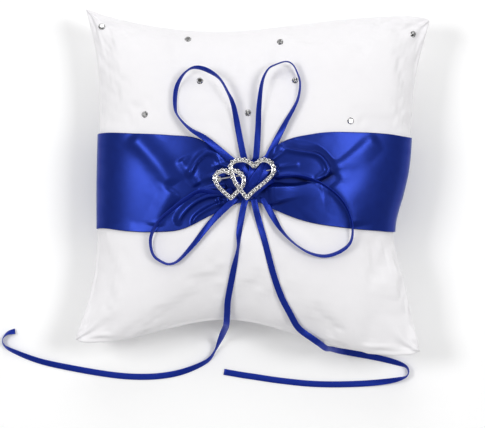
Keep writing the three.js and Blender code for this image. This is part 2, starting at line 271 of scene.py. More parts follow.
# Each strand's length, and its route from the knot. A point's fourth number is how far the
# ribbon leans on its edge there, in degrees.
ribbon_routes = {
    "ribbon_loop_upper_left": (0.142, [
        (-0.0046, 0.0104, 0.059, 8), (-0.0059, 0.014, 0.0598, 8), (-0.0092, 0.0281, 0.0605, 20),
        (-0.0122, 0.0411, 0.0615, 45), (-0.0156, 0.0484, 0.0615, 68), (-0.0204, 0.056, 0.0605, 70),
        (-0.0268, 0.0604, 0.059, 52), (-0.0331, 0.0622, 0.0575, 58), (-0.0382, 0.0609, 0.056, 78),
        (-0.0425, 0.0562, 0.055, 66), (-0.0451, 0.0492, 0.055, 50), (-0.0453, 0.0401, 0.056, 58),
        (-0.0434, 0.0344, 0.057, 76), (-0.0364, 0.0273, 0.06, 60), (-0.0271, 0.0218, 0.0613, 25),
        (-0.015, 0.0126, 0.0603, 0), (-0.0098, 0.0086, 0.0592, 0),
    ]),
    "ribbon_loop_upper_right": (0.133, [
        (0.001, 0.0106, 0.059, 0), (0.0016, 0.014, 0.0596, 0), (0.0021, 0.0285, 0.0605, -25),
        (0.0022, 0.0415, 0.062, -40), (0.0035, 0.0547, 0.061, -62), (0.0066, 0.0623, 0.059, -78),
        (0.0111, 0.0654, 0.057, -82), (0.0167, 0.0673, 0.055, -84), (0.0207, 0.0657, 0.054, -84),
        (0.0237, 0.0601, 0.055, -80), (0.025, 0.0544, 0.0565, -76), (0.0236, 0.0451, 0.0585, -66),
        (0.0177, 0.033, 0.06, -45), (0.013, 0.0232, 0.0603, -15), (0.0087, 0.014, 0.06, 0),
        (0.0064, 0.009, 0.059, 0),
    ]),
    "ribbon_loop_lower_left": (0.137, [
        (-0.0108, -0.0062, 0.0591, 30), (-0.0164, -0.0086, 0.06, 35), (-0.029, -0.0076, 0.061, 55),
        (-0.0364, -0.0118, 0.0615, 50), (-0.0439, -0.0177, 0.061, 55), (-0.0516, -0.0247, 0.059, 60),
        (-0.0555, -0.0311, 0.0565, 62), (-0.0567, -0.0379, 0.0542, 66), (-0.0545, -0.0452, 0.0533, 70),
        (-0.0487, -0.049, 0.0534, 72), (-0.0447, -0.0494, 0.0538, 72), (-0.0402, -0.047, 0.0548, 66),
        (-0.0325, -0.0382, 0.057, 45), (-0.0244, -0.0272, 0.0594, 25), (-0.0184, -0.0202, 0.0602, 12),
        (-0.0114, -0.0132, 0.06, 5), (-0.0084, -0.0101, 0.0591, 5),
    ]),
    "ribbon_loop_lower_right": (0.14, [
        (0.0108, 0.0014, 0.059, -70), (0.014, 0.0016, 0.0602, -66), (0.026, 0.0027, 0.0626, -70),
        (0.0357, 0.0002, 0.0631, -72), (0.0444, -0.0046, 0.0619, -74), (0.0508, -0.0103, 0.0601, -76),
        (0.0551, -0.0172, 0.0575, -80), (0.0574, -0.0256, 0.0568, -76), (0.0566, -0.0336, 0.0551, -68),
        (0.0514, -0.0389, 0.0547, -60), (0.0429, -0.042, 0.0555, -62), (0.0338, -0.0406, 0.0568, -70),
        (0.0251, -0.0357, 0.058, -76), (0.0175, -0.0286, 0.059, -60), (0.0122, -0.0209, 0.0598, -25),
        (0.0074, -0.0126, 0.0599, -5), (0.0057, -0.0095, 0.059, 0),
    ]),
    "ribbon_tail_left": (0.264, [
        (-0.0036, -0.0108, 0.059, 0), (-0.0049, -0.017, 0.0596, 0), (-0.0067, -0.03, 0.0586, 30),
        (-0.007, -0.0391, 0.058, 65), (-0.0094, -0.0533, 0.055, 20), (-0.0117, -0.0683, 0.049, 0),
        (-0.012, -0.076, 0.044, 0), (-0.0122, -0.0828, 0.037, 0), (-0.0128, -0.0858, 0.027, 0),
        (-0.014, -0.089, 0.016, 10), (-0.0158, -0.094, 0.0075, 40), (-0.0183, -0.1, 0.0026, 72),
        (-0.0231, -0.1067, 0.002, 50), (-0.0358, -0.113, 0.002, 20), (-0.0492, -0.1163, 0.002, 0),
        (-0.0644, -0.1174, 0.002, 0), (-0.0809, -0.1165, 0.002, 0), (-0.1033, -0.1134, 0.002, 10),
        (-0.1216, -0.1099, 0.002, 25), (-0.1359, -0.105, 0.002, 45), (-0.1422, -0.1016, 0.002, 70),
        (-0.1432, -0.0976, 0.002, 84), (-0.1404, -0.0942, 0.002, 60), (-0.1362, -0.093, 0.002, 30),
    ]),
    "ribbon_tail_right": (0.287, [
        (0.0009, -0.0109, 0.059, 0), (0.0024, -0.017, 0.0594, 0), (0.0043, -0.0234, 0.0584, 0),
        (0.0081, -0.0352, 0.0584, -15), (0.0133, -0.0526, 0.0556, -10), (0.0183, -0.0656, 0.0516, -5),
        (0.0235, -0.075, 0.0482, -5), (0.0278, -0.0823, 0.0442, -5), (0.0314, -0.0859, 0.042, 0),
        (0.0364, -0.0892, 0.0402, 0), (0.0412, -0.0924, 0.0368, -10), (0.0456, -0.0956, 0.0284, -20),
        (0.0496, -0.0966, 0.0175, -30), (0.0546, -0.098, 0.008, -20), (0.0614, -0.0992, 0.0026, -10),
        (0.0772, -0.1016, 0.002, -10), (0.0884, -0.1041, 0.002, -35), (0.0943, -0.1066, 0.002, -70),
        (0.0948, -0.1112, 0.002, -86), (0.0887, -0.1139, 0.002, -50), (0.0753, -0.1163, 0.002, -15),
        (0.0571, -0.1178, 0.002, 0), (0.039, -0.1181, 0.002, 0), (0.0207, -0.1169, 0.002, 0),
        (0.0048, -0.1151, 0.002, 0), (-0.0029, -0.1142, 0.002, 0), (-0.0129, -0.1128, 0.002, 0),
    ]),
}

ribbon_satin = ribbon_material()
for route_name, (length, route) in ribbon_routes.items():
    strand, middle = ribbon(route_name.replace("ribbon", "satin_ribbon"), route, ribbon_satin)
    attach(strand, "pillow")
    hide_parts(route_name)

# ---------------- Pillow cover
# Two squares of white satin, sewn right sides together, turned and stuffed. The stuffing
# draws the edges in between the corners, and the seam is a crease with small puckers.
half_width, half_height = 0.103, 0.099
seam_height = (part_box("front_panel")[0].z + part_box("back_panel")[1].z) / 2
pull_left, pull_right = 0.014, 0.013
side_sharpness, end_sharpness = 4, 10
corner_cut, corner_roundness = 0.004, 12
corner_fill, corner_fill_power = 0.1, 3
front_depth, back_depth, back_flat = 0.03, 0.03, 0.027

# Depth, middle and reach of the hollows in the edges: top and bottom, and the band's grip.
top_pull, bottom_pull = (0.0145, -0.3, 0.75), (0.018, -0.1, 0.52)
left_grip, right_grip = (0.0015, -0.45, 0.3), (0.008, -0.27, 0.25)
crown_power = 0.45
dimple_depth, dimple_reach = 0.005, 0.025
cover_cells = 150
crease_share = 0.45
cover_cloth = 0.0006
back_clearance = 0.0019
dent_rise, dent_size, ripple_rise, ripple_size = 0.0005, 0.04, 0.00012, 0.013
gather_pitch, gather_fade, gather_rise = 0.0022, 0.006, 0.00028
drag_reach, drag_rise, seam_fade = 0.022, 0.0007, 0.002

# Creases that the tied bow draws into the face: from, to, depth and width.
cover_creases = [
    ((-0.002, 0.01), (-0.0035, 0.04), 0.002, 0.003),
    ((0.0045, 0.012), (0.0075, 0.038), 0.0012, 0.0026),
    ((-0.01, 0.014), (-0.022, 0.036), 0.0014, 0.003),
    ((0.012, 0.018), (0.022, 0.04), 0.001, 0.003),
    ((0.0025, -0.012), (0.004, -0.045), 0.0022, 0.003),
    ((-0.0015, -0.012), (-0.0045, -0.036), 0.0012, 0.0022),
    ((0.0085, -0.014), (0.018, -0.04), 0.0014, 0.0028),
    ((-0.013, -0.016), (-0.034, -0.04), 0.0014, 0.003),
    ((0.02, -0.018), (0.04, -0.036), 0.001, 0.003),
]


def blend_of(low, high, share):
    return low + (high - low) * share


def hollow_at(place, hollow):
    depth, middle, reach_out = hollow
    return depth * np.exp(-((place - middle) / reach_out) ** 2)


def half_width_at(u, v):
    pull = blend_of(pull_left, pull_right, (u + 1) / 2) * (1 - np.abs(v) ** side_sharpness)
    grip = np.where(u > 0, hollow_at(v, right_grip), hollow_at(v, left_grip)) * u * u
    return half_width - pull - grip - corner_cut * np.abs(u * v) ** corner_roundness


def half_height_at(u, v):
    pull = blend_of(hollow_at(u, bottom_pull), hollow_at(u, top_pull), (v + 1) / 2)
    pull = pull * (1 - np.abs(u) ** end_sharpness)
    return half_height - pull - corner_cut * np.abs(u * v) ** corner_roundness


def cover_surface(u, v, side):
    """Points of the plain stuffed shape, without folds; side is 1 in front and -1 behind."""
    x, y = u * half_width_at(u, v), v * half_height_at(u, v)
    power = crown_power - corner_fill * np.abs(u * v) ** corner_fill_power
    crown = (np.clip(1 - u * u, 0, 1) * np.clip(1 - v * v, 0, 1)) ** power
    if side > 0:
        depth = front_depth * crown - dimple_depth * np.exp(-(x * x + y * y) / dimple_reach ** 2)
    else:
        depth = np.minimum(back_depth * crown, back_flat)
    return np.stack([x, y, seam_height + side * depth], axis=-1)


def normals_of(grid):
    """Unit normals of a grid of points, up for a grid that runs right and up."""
    across = np.gradient(grid, axis=0)
    along = np.gradient(grid, axis=1)
    normal = np.cross(across, along)
    length = np.linalg.norm(normal, axis=-1, keepdims=True)
    return normal / np.maximum(length, 1e-12)


def near_line(x, y, start, end):
    """Distance from the line start-end, and the share of the way along it."""
    start, end = np.array(start), np.array(end)
    way = end - start
    share = np.clip(((x - start[0]) * way[0] + (y - start[1]) * way[1]) / (way @ way), 0, 1)
    away = np.hypot(x - start[0] - share * way[0], y - start[1] - share * way[1])
    return away, share


def soft_noise(x, y, size, seed):
    """Smooth noise, about -1 to 1, with bumps of that size."""
    flat = [noise.noise(Vector((a / size, b / size, seed))) for a, b in zip(x.ravel(), y.ravel())]
    return np.array(flat).reshape(x.shape) * 1.6


def cover_folds(points, side, seed):
    """How far the cloth stands in or out of the plain shape, in metres."""
    x, y = points[..., 0], points[..., 1]
    fold = (dent_rise * soft_noise(x, y, dent_size, seed)
            + ripple_rise * soft_noise(x, y, ripple_size, seed + 9))
    if side > 0:
        for start, end, depth, width in cover_creases:
            away, share = near_line(x, y, start, end)
            fade = np.sin(np.pi * np.clip(share * 0.82 + 0.18, 0, 1)) ** 0.8
            depth, width = depth * crease_share, width * 1.15
            fold -= depth * fade * np.exp(-(away / width) ** 2)
            fold += 0.45 * depth * fade * np.exp(-((away - 1.9 * width) / (1.1 * width)) ** 2)
    return fold


def edge_puckers(u, v, points, seed):
    """Small gathers square to the seam, and longer drags that run in from the corners."""
    x, y = points[..., 0], points[..., 1]
    from_side, from_end = (1 - np.abs(u)) * half_width, (1 - np.abs(v)) * half_height
    wander = soft_noise(x, y, 0.02, seed)
    gathers = np.sin(y / gather_pitch + 3 * wander) * np.exp(-from_side / gather_fade)
    gathers += np.sin(x / gather_pitch + 3 * wander) * np.exp(-from_end / gather_fade)
    angle = np.arctan2(from_end, from_side)
    corner = np.exp(-(np.hypot(from_side, from_end) / drag_reach) ** 2)
    drags = np.sin(angle * 9 + wander) * corner
    at_seam = np.clip(np.minimum(from_side, from_end) / seam_fade, 0, 1)
    return (gather_rise * gathers + drag_rise * drags) * at_seam


def grid_faces(rows, columns, flip=False):
    """Quads of a grid of points numbered row by row."""
    faces = []
    for i in range(rows - 1):
        for j in range(columns - 1):
            a = i * columns + j
            quad = (a, a + columns, a + columns + 1, a + 1)
            faces.append(tuple(reversed(quad)) if flip else quad)
    return faces


def shell(name, outside, inside, material):
    """A closed sheet of cloth between two grids of points."""
    rows, columns = outside.shape[:2]
    count = rows * columns
    faces = grid_faces(rows, columns)
    faces += [tuple(count + k for k in face) for face in grid_faces(rows, columns, True)]
    rim = list(range(columns)) + [i * columns + columns - 1 for i in range(1, rows)]
    rim += [(rows - 1) * columns + j for j in range(columns - 2, -1, -1)]
    rim += [i * columns for i in range(rows - 2, 0, -1)]
    for k, here in enumerate(rim):
        there = rim[(k + 1) % len(rim)]
        faces.append((here, there, there + count, here + count))
    points = np.vstack([outside.reshape(-1, 3), inside.reshape(-1, 3)])
    return new_piece(name, points, faces, material)


def white_satin_material():
    material, tree, shader = new_material("white_satin")
    place = place_of(tree)
    across, up = axis_of(tree, place, "X"), axis_of(tree, place, "Y")
    threads = stripes(across, 0.0003) * 0.5 + stripes(up, 0.0005) * 0.5
    slub = speckle(tree, place, 160.0, 4.0)
    cloud = speckle(tree, place, 14.0, 2.0)
    base = mix(tree, cloud * 0.6 + slub * 0.4, (0.795, 0.785, 0.805, 1), (0.88, 0.868, 0.885, 1))
    feed(tree, shader, "Base Color", base)
    feed(tree, shader, "Roughness", slub * 0.15 + 0.48)
    fixed(shader, Specular_IOR_Level=0.35, Sheen_Weight=0.25, Sheen_Roughness=0.5)
    bump(tree, shader, threads * 0.6 + slub * 0.4, 0.25, 0.00008)
    return material


# The stuffed cover is first blown up as real cloth, cut a little too large and held at the
# seam, so that it buckles near the seam as a stuffed cover does. Only the creases are kept.
settle_cells = 46
settle_frames = 20
settle_pressure = 4.0
settle_spare = 0.035
settle_start = 0.97
settle_cap = 0.0012
settle_average = 5
band_press, band_press_fade = 0.022, 0.008


def settle_line(cells):
    """Grid lines from -1 to 1, closer together towards the seam."""
    return np.sin(np.linspace(-1, 1, cells + 1) * math.pi * 0.45) / math.sin(math.pi * 0.45)


def blurred(grid, times):
    """The broad shape of a grid of heights, without its small creases."""
    wide = grid.copy()
    for _ in range(times * 6):
        edge = np.pad(wide, 1, mode="edge")
        wide = (edge[:-2, 1:-1] + edge[2:, 1:-1] + edge[1:-1, :-2] + edge[1:-1, 2:]) / 4
    return wide


def settled_creases():
    """Blows the cover up as cloth; gives each side's creases on the coarse grid, in metres."""
    line = settle_line(settle_cells)
    u, v = np.meshgrid(line, line, indexing="ij")
    sides = {side: cover_surface(u, v, side) for side in (1, -1)}
    count = u.size
    points, number = [], {}
    for side in (1, -1):
        flat = sides[side].reshape(-1, 3).copy()
        flat[:, 2] = seam_height + (flat[:, 2] - seam_height) * settle_start
        points.append(flat)
    rim = (np.abs(u) > 0.9999) | (np.abs(v) > 0.9999)
    number[1] = np.arange(count)
    back_count = np.cumsum(~rim.ravel()) - 1 + count
    number[-1] = np.where(rim.ravel(), number[1], back_count)
    keep = ~rim.ravel()
    rest = np.vstack([points[0], points[1][keep]])
    faces = grid_faces(len(line), len(line))
    quads = faces + [tuple(int(number[-1][k]) for k in face[::-1]) for face in faces]
    mesh = bpy.data.meshes.new("settling_cover")
    mesh.from_pydata([tuple(p) for p in rest], [], quads)
    trial = bpy.data.objects.new("settling_cover", mesh)
    bpy.context.scene.collection.objects.link(trial)
    seam = trial.vertex_groups.new(name="seam")
    seam.add([int(k) for k in np.flatnonzero(rim.ravel())], 1.0, "REPLACE")
    cloth = trial.modifiers.new("cloth", "CLOTH")
    cloth.settings.quality = 6
    cloth.settings.mass = 0.2
    cloth.settings.tension_stiffness = 20.0
    cloth.settings.compression_stiffness = 20.0
    cloth.settings.shear_stiffness = 8.0
    cloth.settings.bending_stiffness = 0.1
    cloth.settings.shrink_min = -settle_spare
    cloth.settings.use_pressure = True
    cloth.settings.uniform_pressure_force = settle_pressure
    cloth.settings.vertex_group_mass = "seam"
    cloth.settings.effector_weights.gravity = 0.0
    cloth.point_cache.frame_start, cloth.point_cache.frame_end = 1, settle_frames
    for frame_number in range(1, settle_frames + 1):
        bpy.context.scene.frame_set(frame_number)
    seen = trial.evaluated_get(bpy.context.evaluated_depsgraph_get())
    moved = np.array([tuple(p.co) for p in seen.data.vertices]) - rest
    bpy.data.objects.remove(trial)
    bpy.context.scene.frame_set(1)
    creases = {}
    for side in (1, -1):
        outward = normals_of(sides[side]) * side
        rise = (moved[number[side]].reshape(sides[side].shape) * outward).sum(-1)
        rise = np.where(rim, 0, rise)
        rise -= blurred(rise, settle_average)
        creases[side] = settle_cap * np.tanh(rise / settle_cap)
    return creases


def crease_at(side, u, v):
    """The settled creases at any place of a side, between the points of the coarse grid."""
    line = settle_line(settle_cells)
    i = np.clip(np.searchsorted(line, u) - 1, 0, settle_cells - 1)
    j = np.clip(np.searchsorted(line, v) - 1, 0, settle_cells - 1)
    a = np.clip((u - line[i]) / (line[i + 1] - line[i]), 0, 1)
    b = np.clip((v - line[j]) / (line[j + 1] - line[j]), 0, 1)
    a, b = a * a * (3 - 2 * a), b * b * (3 - 2 * b)
    rise = settled[side]
    low = blend_of(rise[i, j], rise[i + 1, j], a)
    return blend_of(low, blend_of(rise[i, j + 1], rise[i + 1, j + 1], a), b)


def cover_rise(u, v, side):
    """How far the finished cover stands out of the plain stuffed shape, in metres."""
    plain = cover_surface(u, v, side)
    press = np.exp(-(np.maximum(np.abs(plain[..., 1]) - band_press, 0) / band_press_fade) ** 2)
    rise = cover_folds(plain, side, 3.0 + side) + edge_puckers(u, v, plain, 7.0 + side)
    rise += crease_at(side, u, v) * (1 - 0.9 * press)
    return rise * np.clip(np.minimum(1 - np.abs(u), 1 - np.abs(v)) / 0.01, 0, 1)


settled = settled_creases()
white_satin = white_satin_material()
cover = {}
for side, panel_name in ((1, "front_panel"), (-1, "back_panel")):
    line = np.sin(np.linspace(-1, 1, cover_cells + 1) * math.pi / 2)
    u, v = np.meshgrid(line, line, indexing="ij")
    plain = cover_surface(u, v, side)
    outward = normals_of(plain) * side
    outward[[0, -1], :] = (0, 0, 0)
    outward[:, [0, -1]] = (0, 0, 0)
    outside = plain + outward * cover_rise(u, v, side)[..., None]
    inside = outside - outward * cover_cloth
    inside[..., :2] *= 1 - cover_cloth / half_width
    if side < 0:
        outside[..., 2] = np.maximum(outside[..., 2], back_clearance)
        outside, inside = outside[::-1], inside[::-1]
    cover[side] = shell("cover_" + panel_name.split("_")[0], outside, inside, white_satin)
    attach(cover[side], "pillow")
    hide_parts(panel_name)

# ---------------- Filling
# Loose polyester fibre, packed through the last open stretch of the seam. It fills the cover
# from inside and stays lumpy.
filling_inset = 0.0016
filling_gap = 0.006
filling_cells = 60
tuft_rise, tuft_size = 0.0012, 0.018


def fibre_material():
    material, tree, shader = new_material("loose_fibre")
    place = place_of(tree)
    tufts = speckle(tree, place, 90.0, 6.0, 0.7)
    base = mix(tree, tufts, (0.82, 0.82, 0.82, 1), (0.95, 0.95, 0.94, 1))
    feed(tree, shader, "Base Color", base)
    feed(tree, shader, "Roughness", tufts * 0.1 + 0.85)
    bump(tree, shader, tufts, 0.6, 0.001)
    return material


line = np.sin(np.linspace(-1, 1, filling_cells + 1) * math.pi / 2)
u, v = np.meshgrid(line, line, indexing="ij")
lumps = []
for side in (1, -1):
    body_of_fibre = cover_surface(u, v, side)
    lump = np.abs(soft_noise(body_of_fibre[..., 0], body_of_fibre[..., 1], tuft_size, 40.0 + side))
    shrink = filling_inset + tuft_rise * lump
    body_of_fibre[..., :2] *= 1 - 2 * filling_inset / half_width
    depth = (body_of_fibre[..., 2] - seam_height) * side
    depth = depth * (1 - filling_gap / front_depth)
    body_of_fibre[..., 2] = seam_height + side * (depth - np.minimum(shrink, depth * 0.5))
    lumps.append(body_of_fibre)
filling = shell("fibre_stuffing", lumps[0], lumps[1], fibre_material())
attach(filling, "pillow")
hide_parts("fibre_filling")

# ---------------- Satin band
# A wide blue satin ribbon, wrapped once round the waist and gathered in the middle of the
# face, where its two ends are sewn down under the knot. The gathering throws up soft pleats.
band_gap = 0.0004
band_thickness = 0.0007
band_rows = 124
back_stations, sewn_gap = 90, 0.003
band_ripple, band_ripple_size = 0.0005, 0.03

# Share of the half width where the front edges start to meet the back's, and where the cloth
# starts to turn round the side, each with the share that it takes.
back_start, back_reach = 0.86, 0.14
side_start, side_reach = 0.985, 0.05
pleat_step, pleat_end, puff_step = 0.0015, 0.15, 0.0012
puff_turn_start, puff_turn_reach = 0.002, 0.006
# Painted shade in the band's folds: how often the heights are blurred, how deep below the blur the
# darkening starts, and over what depth it becomes full.
painted_shade_blur, painted_shade_start, painted_shade_depth = 5, 0.0003, 0.001
band_fine_reach, band_fine_step, band_step = 0.046, 0.00055, 0.0014

# The brooch's hinge presses the band down: the room round its middle, and the slope beyond.
hinge_low, hinge_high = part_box("hinge_base")
hinge_middle = ((hinge_low.x + hinge_high.x) / 2, (hinge_low.y + hinge_high.y) / 2)
hinge_floor, hinge_room, press_slope = hinge_low.z - 0.0003, 0.003, 1.2
band_left_end, band_right_end = (-0.0312, 0.0234), (-0.0272, 0.0272)

band_top_edge = [
    (-0.0883, 0.0244), (-0.0691, 0.0239), (-0.0481, 0.0235), (-0.0311, 0.0218),
    (-0.0143, 0.0118), (-0.005, 0.01), (0.0037, 0.012), (0.0142, 0.0206),
    (0.0332, 0.0268), (0.0586, 0.0287), (0.0722, 0.0286), (0.0884, 0.0272),
]
band_bottom_edge = [
    (-0.0883, -0.0298), (-0.0723, -0.0316), (-0.0542, -0.0316), (-0.0396, -0.0297),
    (-0.0212, -0.0203), (-0.006, -0.0135), (0.003, -0.013), (0.0115, -0.0164),
    (0.0281, -0.0221), (0.0542, -0.0257), (0.0803, -0.0271), (0.0884, -0.0275),
]

# The outline of the raised puff at the upper right of the knot, its height, and how fast it
# falls away on the upper and on the lower side.
upper_puff = [
    (0.0138, 0.0196), (0.0182, 0.0186), (0.0238, 0.0172), (0.0287, 0.0167), (0.0343, 0.0158),
    (0.0386, 0.0134), (0.0416, 0.0094), (0.0423, 0.0063), (0.0402, 0.0032), (0.036, 0.001),
    (0.0298, 0.0018), (0.0261, 0.0027), (0.0218, 0.0032), (0.0175, 0.0027), (0.0135, 0.002),
    (0.012, 0.01),
]
upper_puff_height, upper_puff_fall = 0.003, (0.0036, 0.0009)

# Pleats: a line, its height at each end, and its width to the left and to the right of its
# direction. A low height makes a broad drag, a narrow width makes a rolled edge.
band_pleats = [
    # the rolled edge round the upper right puff
    ([(0.014, 0.0192), (0.0238, 0.017), (0.0343, 0.0156), (0.0386, 0.0132), (0.0416, 0.0092),
      (0.0422, 0.0063), (0.0402, 0.0034), (0.0345, 0.0008)], 0.001, 0.0022, 0.001, 0.0015),
    ([(0.013, 0.0018), (0.0175, 0.0029), (0.0218, 0.0033), (0.0261, 0.0028), (0.03, 0.0018),
      (0.035, 0.0004)], 0.0012, 0.0006, 0.0016, 0.0007),
    # the lower right puff, steep above and gentle below
    ([(0.0085, -0.0036), (0.0147, -0.0032), (0.019, -0.0036), (0.0245, -0.0033),
      (0.0294, -0.0022), (0.035, -0.0004), (0.04, 0.0014)], 0.003, 0.0008, 0.0012, 0.011),
    ([(0.0108, -0.003), (0.0116, -0.009), (0.0132, -0.0145)], 0.0036, 0.0026, 0.008, 0.004),
    # broad drags that run out from the puffs to the upper and the lower right
    ([(0.043, 0.003), (0.0468, 0.0077), (0.054, 0.014), (0.063, 0.0211), (0.07, 0.0275)],
     0.0012, 0.001, 0.004, 0.0075),
    ([(0.043, 0.0), (0.048, -0.005), (0.052, -0.009), (0.0569, -0.0172),
      (0.059, -0.026)], 0.0012, 0.001, 0.0075, 0.004),
    # left: the hooked pleat, and the broad drags beyond it
    ([(-0.0365, -0.001), (-0.0344, 0.004), (-0.0323, 0.0085), (-0.0291, 0.0122),
      (-0.0258, 0.0143), (-0.0222, 0.0138), (-0.02, 0.0104), (-0.0188, 0.006)],
     0.0018, 0.0012, 0.0022, 0.0016),
    ([(-0.041, 0.011), (-0.038, 0.006), (-0.0345, 0.001), (-0.03, -0.005)],
     0.001, 0.0012, 0.0036, 0.003),
    ([(-0.07, 0.023), (-0.062, 0.016), (-0.054, 0.008), (-0.048, 0.0),
      (-0.044, -0.006)], 0.0014, 0.0014, 0.006, 0.005),
    ([(-0.044, -0.006), (-0.048, -0.014), (-0.052, -0.022), (-0.054, -0.03)],
     0.0014, 0.0008, 0.005, 0.006),
    # left below: the rolled pouch at the band's lower edge and the pleat inside it
    ([(-0.013, -0.0098), (-0.0216, -0.01), (-0.0266, -0.0112), (-0.0322, -0.0143),
      (-0.0371, -0.019), (-0.0403, -0.0242), (-0.0398, -0.029)], 0.0026, 0.002, 0.0011, 0.0032),
    ([(-0.013, -0.0125), (-0.02, -0.015), (-0.027, -0.019), (-0.0318, -0.0232),
      (-0.033, -0.028)], 0.0016, 0.0014, 0.001, 0.0014),
    ([(-0.0195, -0.0108), (-0.018, -0.016)], 0.0014, 0.0012, 0.0009, 0.0009),
    # short pleats close to the knot
    ([(-0.013, 0.006), (-0.019, 0.0075), (-0.024, 0.006)], 0.0018, 0.0003, 0.0014, 0.0014),
    ([(-0.014, 0.001), (-0.022, 0.001), (-0.03, -0.001)], 0.002, 0.0002, 0.0018, 0.0018),
    ([(-0.014, -0.005), (-0.023, -0.0058), (-0.031, -0.008)], 0.002, 0.0004, 0.0016, 0.0016),
    ([(-0.011, 0.0095), (-0.016, 0.013), (-0.022, 0.0165)], 0.0018, 0.0002, 0.0014, 0.0014),
    ([(0.01, 0.011), (0.015, 0.015), (0.019, 0.0175)], 0.0018, 0.0003, 0.0012, 0.0016),
    ([(0.011, 0.006), (0.019, 0.0085), (0.027, 0.0095)], 0.0014, 0.0002, 0.0016, 0.0016),
]
gather_bulk, gather_reach = 0.0022, 0.017


def curve_through(points, x):
    """A smooth height over x through points that run left to right."""
    px, py = np.array(points).T
    slope = np.gradient(py, px)
    k = np.clip(np.searchsorted(px, x) - 1, 0, len(px) - 2)
    wide = px[k + 1] - px[k]
    t = np.clip((x - px[k]) / wide, 0, 1)
    low = (2 * t ** 3 - 3 * t ** 2 + 1) * py[k] + (t ** 3 - 2 * t ** 2 + t) * wide * slope[k]
    high = (-2 * t ** 3 + 3 * t ** 2) * py[k + 1] + (t ** 3 - t ** 2) * wide * slope[k + 1]
    return low + high


def smooth_line(points, step, closed=False):
    """Points about step apart on a Catmull-Rom curve through 2D points."""
    flat = [(x, y, 0.0, 0.0) for x, y in points]
    if closed:
        flat = flat[-2:] + flat + flat[:3]
    fine, _ = smooth_route(flat, step)
    if closed:
        start = np.argmin(np.hypot(*(fine[:len(fine) // 4, :2] - points[0]).T))
        end = len(fine) // 2 + np.argmin(np.hypot(*(fine[len(fine) // 2:, :2] - points[0]).T))
        return fine[start:end, :2]
    return fine[:, :2]


def side_of_line(x, y, line):
    """Signed distance to a line, more than 0 on the left of its direction, and how far along."""
    best = np.full(x.shape, 1e9)
    signed, along = np.zeros(x.shape), np.zeros(x.shape)
    count = len(line) - 1
    for i in range(count):
        away, share = near_line(x, y, line[i], line[i + 1])
        way = line[i + 1] - line[i]
        cross = way[0] * (y - line[i][1]) - way[1] * (x - line[i][0])
        closer = away < best
        best = np.where(closer, away, best)
        signed = np.where(closer, np.where(cross >= 0, away, -away), signed)
        along = np.where(closer, (i + share) / count, along)
    return signed, along


def pleat_height(x, y):
    """How far the gathered band stands off the cover, in metres."""
    height = gather_bulk * np.exp(-(x * x + y * y) / gather_reach ** 2)
    for points, start_height, end_height, left, right in band_pleats:
        signed, along = side_of_line(x, y, smooth_line(points, pleat_step))
        width = np.where(signed > 0, left, right)
        ends = np.clip(along / pleat_end, 0, 1) * np.clip((1 - along) / pleat_end, 0, 1)
        ends = ends * ends * (3 - 2 * ends)
        height += blend_of(start_height, end_height, along) * ends * np.exp(-(signed / width) ** 2)
    outline = smooth_line(upper_puff, puff_step, closed=True)
    signed, _ = side_of_line(x, y, np.vstack([outline, outline[:1]])[::-1])
    upper = np.clip((y - puff_turn_start) / puff_turn_reach, 0, 1)
    fall = blend_of(upper_puff_fall[1], upper_puff_fall[0], upper)
    height += upper_puff_height * np.where(signed > 0, 1.0, np.exp(-(signed / fall) ** 2))
    return height


def blue_satin_material():
    material, tree, shader = new_material("blue_satin")
    place = place_of(tree)
    up, across = axis_of(tree, place, "Y"), axis_of(tree, place, "X")
    warp = stripes(up, 0.0003)
    weft = stripes(across + axis_of(tree, place, "Z"), 0.00055)
    slub = speckle(tree, place, 240.0, 4.0)
    cloud = speckle(tree, place, 22.0, 2.0)
    base = mix(tree, cloud * 0.5 + slub * 0.5, (0.0055, 0.0165, 0.175, 1), (0.0085, 0.0275, 0.25, 1))
    # Painted shade: the colour turns near black navy where the band lies sunk in its folds.
    hollow = node(tree, "ShaderNodeAttribute", {"attribute_name": "hollow"}, out="Fac")
    base = mix(tree, hollow, base, (0.002, 0.003, 0.03, 1))
    feed(tree, shader, "Base Color", base)
    feed(tree, shader, "Roughness", slub * 0.08 + 0.28)
    fixed(shader, Metallic=0.65, Specular_IOR_Level=0.35, Specular_Tint=blue_glance,
          Coat_Weight=0.13, Coat_Roughness=0.34)
    bump(tree, shader, warp * 0.5 + weft * 0.3 + slub * 0.2, 0.25, 0.00006)
    return material


# Stations round the waist, from the sewn end in front, over the right side and the back.
reach = half_width - pull_right
station = [0.0]
while station[-1] < reach * side_start:
    near = abs(station[-1]) < band_fine_reach
    station.append(station[-1] + (band_fine_step if near else band_step))
front_u = np.array(station) / reach
front_u = front_u / front_u[-1]
turn = np.arcsin(front_u)
back_turn = np.linspace(math.pi / 2, 1.5 * math.pi, back_stations)[1:-1]
stations = np.r_[turn, back_turn, 2 * math.pi - turn[::-1]]
stations[0], stations[-1] = sewn_gap, 2 * math.pi - sewn_gap

rows = np.linspace(0, 1, band_rows)
angle, share = np.meshgrid(stations, rows, indexing="ij")
u = np.sin(angle)
x_guess = u * half_width_at(u, 0.0)
in_front = np.cos(angle) > 0
front_y = blend_of(curve_through(band_bottom_edge, x_guess), curve_through(band_top_edge, x_guess),
                   share)
side_share = (u + 1) / 2
back_y = blend_of(blend_of(band_left_end[0], band_right_end[0], side_share),
                  blend_of(band_left_end[1], band_right_end[1], side_share), share)
toward_back = np.clip((np.abs(u) - back_start) / back_reach, 0, 1) ** 2
y_wanted = np.where(in_front, blend_of(front_y, back_y, toward_back), back_y)
v = y_wanted / half_height
for _ in range(4):
    v = y_wanted / half_height_at(u, v)
front_points, back_points = cover_surface(u, v, 1), cover_surface(u, v, -1)
waist = np.where(in_front[..., None], front_points, back_points)
away = np.stack([np.sin(angle), np.zeros_like(angle), np.cos(angle)], axis=-1)
flat_normal = normals_of(waist)
flat_normal = np.where((flat_normal * away).sum(-1, keepdims=True) < 0, -flat_normal, flat_normal)
